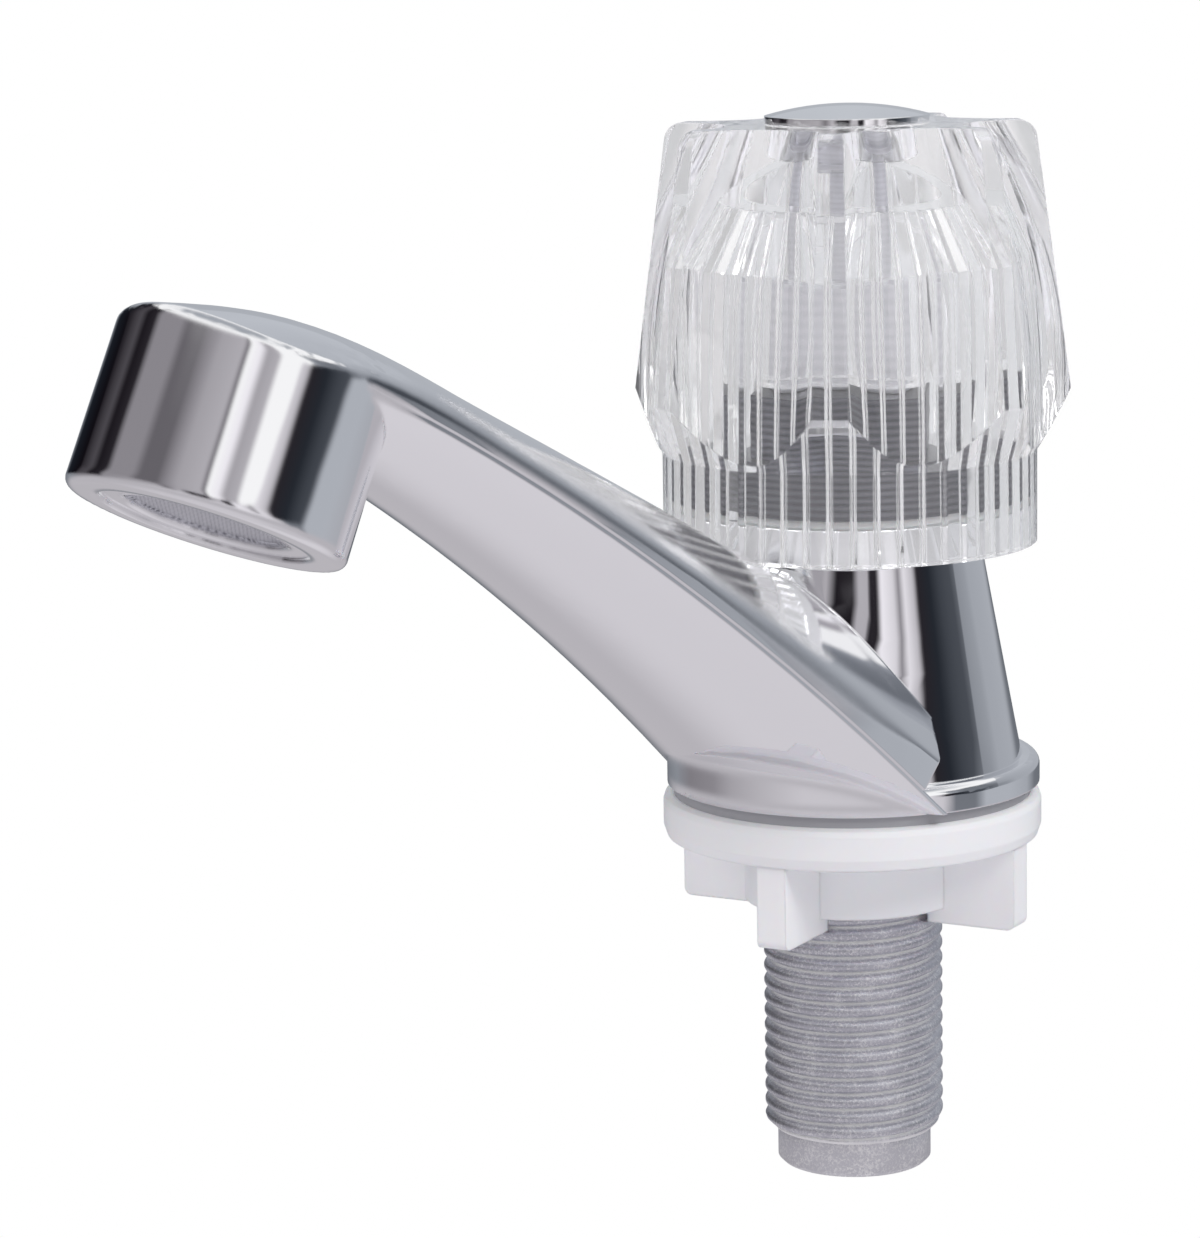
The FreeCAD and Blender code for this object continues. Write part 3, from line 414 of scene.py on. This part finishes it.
FINISH_OF = {
    "tap_body": chrome_plate, "handle_cap": chromed_cap, "handle": acrylic, "mounting_nut": nylon,
    "base_washer": grey_rubber, "bonnet_gasket": fibre, "thrust_washer": fibre,
    "aerator_insert": acetal, "aerator_screen": gauze, "aerator_gasket": rubber,
    "valve_bonnet": brass, "valve_plug": brass, "spindle": satin, "spindle_circlip": steel,
    "handle_screw": steel, "screw_washer": steel, "seat_screw": steel, "seat_washer": rubber,
    "shank_ring": rubber, "spindle_rings": rubber,
}
for node, finish in FINISH_OF.items():
    dress(nodes[node], finish)


# pieces that stand for CAD nodes
WELD = 0.001 * MM           # points nearer than this are one


def sweep_round(bm, outline, place, segments):
    # an outline of (radius, height) points carried round an axis
    rings = []
    for radius, height in outline:
        ring = []
        for i in range(segments):
            turn = 2 * math.pi * i / segments
            point = Vector((radius * math.cos(turn), radius * math.sin(turn), height))
            ring.append(bm.verts.new(place @ point))
        rings.append(ring)
    for low, high in zip(rings, rings[1:]):
        for i in range(segments):
            after = (i + 1) % segments
            bm.faces.new((low[i], low[after], high[after], high[i]))


def finish_piece(name, bm, finish, body, node, sharp):
    # the sharp angle, in degrees, is where a corner stays crisp
    data = bpy.data.meshes.new(name)
    bmesh.ops.remove_doubles(bm, verts=bm.verts, dist=WELD)
    bm.to_mesh(data)
    bm.free()
    data.shade_smooth()
    data.set_sharp_from_angle(angle=math.radians(sharp))
    piece = bpy.data.objects.new(name, data)
    bpy.context.scene.collection.objects.link(piece)
    dress(piece, finish)
    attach(piece, body)
    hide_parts(node)


THREAD_PITCH = 1.814 * MM
THREAD_DEPTH = 1.05 * MM
THREAD_CORE = 1.05 * THREAD_DEPTH   # how far below the crests the plain core lies
THREAD_ROUND = 2.6          # higher is a flatter crest between narrower grooves
THREAD_TURN = 72            # points round one turn
THREAD_RISE = (0.0, 0.05, 0.14, 0.27, 0.42, 0.58, 0.73, 0.86, 0.95)     # rows in one pitch
THREAD_LEAD = 1.5           # turns that start below the tail and are cut off
SPIGOT_R = 9.0 * MM
SPIGOT_H = 4.2 * MM
SPIGOT_EDGE = 0.5 * MM
TAIL_BORE = 7.4 * MM


def thread_radius(share, height, crest, low):
    # rounded crest between narrow grooves, tapering away over the last millimetre
    away = abs(2 * share - 1) ** THREAD_ROUND
    return min(crest - THREAD_DEPTH * away, crest - THREAD_CORE + max(0.0, height - low))


def cut_thread(bm, crest, low, high):
    rows_each, turns = len(THREAD_RISE), math.ceil((high - low) / THREAD_PITCH) + 2
    grid = []
    for row in range(rows_each * turns):
        share, rise = THREAD_RISE[row % rows_each], row // rows_each
        line = []
        for column in range(THREAD_TURN):
            turn = 2 * math.pi * column / THREAD_TURN
            height = low + THREAD_PITCH * (rise + share + column / THREAD_TURN - THREAD_LEAD)
            radius = thread_radius(share, height, crest, low)
            line.append(bm.verts.new((radius * math.cos(turn), radius * math.sin(turn), height)))
        grid.append(line)
    for row in range(len(grid) - rows_each - 1):
        for column in range(THREAD_TURN - 1):
            bm.faces.new((grid[row][column], grid[row][column + 1], grid[row + 1][column + 1],
                          grid[row + 1][column]))
        wrapped = row + rows_each
        bm.faces.new((grid[row][-1], grid[wrapped][0], grid[wrapped + 1][0], grid[row + 1][-1]))
    for place, side in ((low, -1), (high, 1)):
        whole = list(bm.verts) + list(bm.edges) + list(bm.faces)
        bmesh.ops.bisect_plane(bm, geom=whole, plane_co=(0, 0, place), plane_no=(0, 0, side),
                               clear_outer=True)


def threaded_tail():
    # the shank with its half-inch pipe thread, a plain spigot at its end and its bore
    low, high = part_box("shank")
    crest = high.x
    bm = bmesh.new()
    step = low.z + SPIGOT_H
    cut_thread(bm, crest, step, 0.0)
    outline = [(crest - THREAD_CORE, step), (SPIGOT_R, step), (SPIGOT_R, low.z + SPIGOT_EDGE),
               (SPIGOT_R - SPIGOT_EDGE, low.z), (TAIL_BORE, low.z), (TAIL_BORE, high.z),
               (crest, high.z), (crest, 0.0), (crest - THREAD_DEPTH, 0.0)]
    sweep_round(bm, outline, Matrix.Identity(4), THREAD_TURN)
    finish_piece("tail_with_thread", bm, zinc, "body", "shank", 60.0)


threaded_tail()

OUTLET_MIDDLE = (0.0, -97.4 * MM, 41.6 * MM)
AERATOR_R = 10.95 * MM
AERATOR_WINDOW = 8.4 * MM
AERATOR_WALL = 9.9 * MM     # inside of the ring, above the gauze
AERATOR_IN = 0.4 * MM
AERATOR_DEEP = 8.0 * MM
AERATOR_EDGE = 0.3 * MM
AERATOR_TURN = 96           # points round the ring
GAUZE_IN = 1.3 * MM


def aerator_ring():
    # the screwed ring that holds the gauze, its corners broken so that a fine line shows round it
    place = Matrix.Translation(OUTLET_MIDDLE) @ Matrix.Rotation(-OUTLET_TILT, 4, "X")
    low, deep = AERATOR_IN, AERATOR_DEEP
    outline = [(AERATOR_WALL, deep), (AERATOR_WALL, GAUZE_IN), (AERATOR_WINDOW, GAUZE_IN),
               (AERATOR_WINDOW, low + AERATOR_EDGE), (AERATOR_WINDOW + AERATOR_EDGE, low),
               (AERATOR_R - AERATOR_EDGE, low), (AERATOR_R, low + AERATOR_EDGE), (AERATOR_R, deep),
               (AERATOR_WALL, deep)]
    bm = bmesh.new()
    sweep_round(bm, outline, place, AERATOR_TURN)
    bmesh.ops.recalc_face_normals(bm, faces=bm.faces)
    finish_piece("aerator_ring", bm, chrome_plate, "body", "aerator_housing", 30.0)


aerator_ring()

# Studio: white ground, and walls whose bands of light and dark the chrome shows. A band is at its angle
# round the tap, in degrees from the camera's side, with its lightness in percent.
BELOW_WALL = (
    (-180, 40), (-140, 55), (-120, 50), (-95, 55), (-80, 65), (-30, 80), (-8, 80), (10, 80), (30, 90),
    (58, 80), (66, 45), (81, 45), (90, 70), (112, 70), (135, 65), (150, 45), (180, 40),
)
LOW_WALL = (
    (-180, 70), (-165, 65), (-158, 35), (-150, 10), (-128, 5), (-122, 25), (-112, 30), (-104, 10),
    (-94, 15), (-88, 55), (-40, 65), (-30, 45), (-20, 70), (-12, 10), (2, 10), (7, 70), (14, 70),
    (16, 15), (22, 15), (26, 95), (36, 85), (41, 55), (46, 90), (54, 75), (58, 15), (70, 15),
    (80, 25), (90, 30), (95, 45), (104, 55), (118, 65), (180, 70),
)
HIGH_WALL = (
    (-180, 75), (-160, 70), (-140, 5), (-126, 15), (-112, 30), (-104, 10), (-94, 15), (-87, 55),
    (-64, 55), (-55, 40), (-38, 40), (-28, 55), (-18, 65), (2, 70), (6, 45), (9, 100), (17, 95),
    (23, 65), (31, 70), (35, 100), (60, 100), (64, 60), (72, 50), (88, 45), (96, 45), (106, 60),
    (120, 65), (160, 70), (180, 75),
)
FLOOR_WALL = (
    (-180, 84), (-120, 80), (0, 80), (60, 77), (95, 78), (130, 84), (180, 84),
)
CEILING = ((-180, 100), (180, 100))
OVERHEAD = ((-180, 65), (180, 65))
NEAR_FLOOR = ((-180, 72), (180, 72))
LAMP_SIDE = (-130, 60)      # lamps light the walls between these angles, and a window the others
LAMP_TINT, WINDOW_TINT = (3, 0, 5), (0, 4, 11)      # added to red, green and blue, out of 255
# the tint is the one away from the lamps; each layer but the first goes over the ones before it, from
# where its direction's height is the first number to where it is the second
WALL_LAYERS = ((LOW_WALL, WINDOW_TINT, 0.0, 0.0), (BELOW_WALL, WINDOW_TINT, -0.08, -0.14),
               (HIGH_WALL, WINDOW_TINT, 0.195, 0.225), (CEILING, WINDOW_TINT, 0.58, 0.68),
               (OVERHEAD, WINDOW_TINT, 0.72, 0.97), (NEAR_FLOOR, LAMP_TINT, -0.2, -0.42),
               (FLOOR_WALL, LAMP_TINT, -0.6, -0.9))
PALE_THROUGH = 0.55         # how much paler the walls are through the clear handle
DEEP_BOUNCE = 3.5           # bounces after which they are as pale in it


def wall_greys(bands, away):
    greys = []
    for side, lightness in bands:
        tint = LAMP_TINT if LAMP_SIDE[0] <= side <= LAMP_SIDE[1] else away
        parts = [min(255, round(255 * lightness / 100) + more) for more in tint]
        greys.append((side, "#%02x%02x%02x" % tuple(parts)))
    return greys


def build_studio_walls():
    world = bpy.data.worlds.new("studio")
    world.use_nodes = True
    bpy.context.scene.world = world
    tree = world.node_tree
    tree.nodes.clear()
    way = add(tree, "ShaderNodeTexCoord").outputs["Generated"]
    turned = add(tree, "ShaderNodeVectorRotate", {"Vector": way}, {"Angle": -CAMERA_SIDE},
                 rotation_type="Z_AXIS")
    parts = add(tree, "ShaderNodeSeparateXYZ", {"Vector": turned.outputs["Vector"]})
    angle = add(tree, "ShaderNodeMath", {0: parts.outputs["Y"], 1: parts.outputs["X"]},
                operation="ARCTAN2")
    around = add(tree, "ShaderNodeMapRange", {"Value": angle.outputs[0]},
                 {"From Min": -math.pi, "From Max": math.pi}).outputs["Result"]
    tones = []
    for bands, away, _, _ in WALL_LAYERS:
        ramp = add(tree, "ShaderNodeValToRGB", {"Fac": around})
        fill_bands(ramp, wall_greys(bands, away), -180, 180)
        tones.append(ramp.outputs["Color"])
    room = tones[0]
    for tone, (_, _, start, whole) in zip(tones[1:], WALL_LAYERS[1:]):
        share = add(tree, "ShaderNodeMapRange", {"Value": parts.outputs["Z"]},
                    {"From Min": start, "From Max": whole}, interpolation_type="SMOOTHSTEP")
        room = add(tree, "ShaderNodeMix", {"Factor": share.outputs["Result"], 6: room, 7: tone},
                   data_type="RGBA").outputs[2]
    rays = add(tree, "ShaderNodeLightPath")
    deep_in = add(tree, "ShaderNodeMath", {0: rays.outputs["Ray Depth"]}, {1: DEEP_BOUNCE},
                  operation="GREATER_THAN")
    washed = add(tree, "ShaderNodeMath", {0: rays.outputs["Is Transmission Ray"], 1: deep_in.outputs[0]},
                 operation="MAXIMUM")
    wash = add(tree, "ShaderNodeMath", {0: washed.outputs[0]}, {1: PALE_THROUGH}, operation="MULTIPLY")
    for white in (wash.outputs[0], rays.outputs["Is Camera Ray"]):
        room = add(tree, "ShaderNodeMix", {"Factor": white, 6: room}, {7: linear("#ffffff")},
                   data_type="RGBA").outputs[2]
    sky = add(tree, "ShaderNodeBackground", {"Color": room}, {"Strength": 1.0})
    add(tree, "ShaderNodeOutputWorld", {"Surface": sky.outputs["Background"]})


build_studio_walls()

PAPER_BEHIND, PAPER_AHEAD, PAPER_ASIDE = 0.2, 0.35, 0.3     # how far the sheet reaches from the axis
PAPER_BELOW = 0.5 * MM      # its gap under the tail


def lay_ground(low):
    # a sheet of white paper: it lights the undersides from below and shows as plain white
    toward = Vector((math.cos(CAMERA_SIDE), math.sin(CAMERA_SIDE), 0))
    across = Vector((-toward.y, toward.x, 0))
    corners = [toward * ahead + across * aside
               for ahead, aside in ((-PAPER_BEHIND, -PAPER_ASIDE), (PAPER_AHEAD, -PAPER_ASIDE),
                                    (PAPER_AHEAD, PAPER_ASIDE), (-PAPER_BEHIND, PAPER_ASIDE))]
    data = bpy.data.meshes.new("ground")
    data.from_pydata([(corner.x, corner.y, low) for corner in corners], [], [(0, 1, 2, 3)])
    ground = bpy.data.objects.new("ground", data)
    bpy.context.scene.collection.objects.link(ground)
    finish, tree = new_finish("white_paper_ground")
    rays = add(tree, "ShaderNodeLightPath")
    paper = add(tree, "ShaderNodeBsdfPrincipled",
                values={"Roughness": 0.8, "Base Color": linear("#e6e5ea")})
    glow = add(tree, "ShaderNodeEmission", values={"Strength": 1.0})
    mix = add(tree, "ShaderNodeMixShader",
              {"Fac": rays.outputs["Is Camera Ray"], 1: paper.outputs["BSDF"],
               2: glow.outputs["Emission"]})
    add(tree, "ShaderNodeOutputMaterial", {"Surface": mix.outputs["Shader"]})
    dress(ground, finish)
    ground.visible_glossy = False


lay_ground(cad_box[0].z - PAPER_BELOW)

LAMP_AIM = Vector((0, -0.03, 0.01))     # the middle of the tap


def hang_lamp(name, place, size, power):
    # a soft square lamp: its size in metres, its power in watts
    data = bpy.data.lights.new(name, "AREA")
    data.shape = "SQUARE"
    data.size = size
    data.energy = power
    lamp = bpy.data.objects.new(name, data)
    lamp.location = place
    aim = LAMP_AIM - lamp.location
    lamp.rotation_mode = "QUATERNION"
    lamp.rotation_quaternion = aim.to_track_quat("-Z", "Y")
    lamp.visible_glossy = False
    bpy.context.scene.collection.objects.link(lamp)


hang_lamp("key_lamp", (0.9, -0.1, 0.9), 0.6, 7.0)
hang_lamp("fill_lamp", (-0.6, -0.9, 0.7), 0.7, 5.0)

bpy.context.scene.view_settings.view_transform = "Standard"
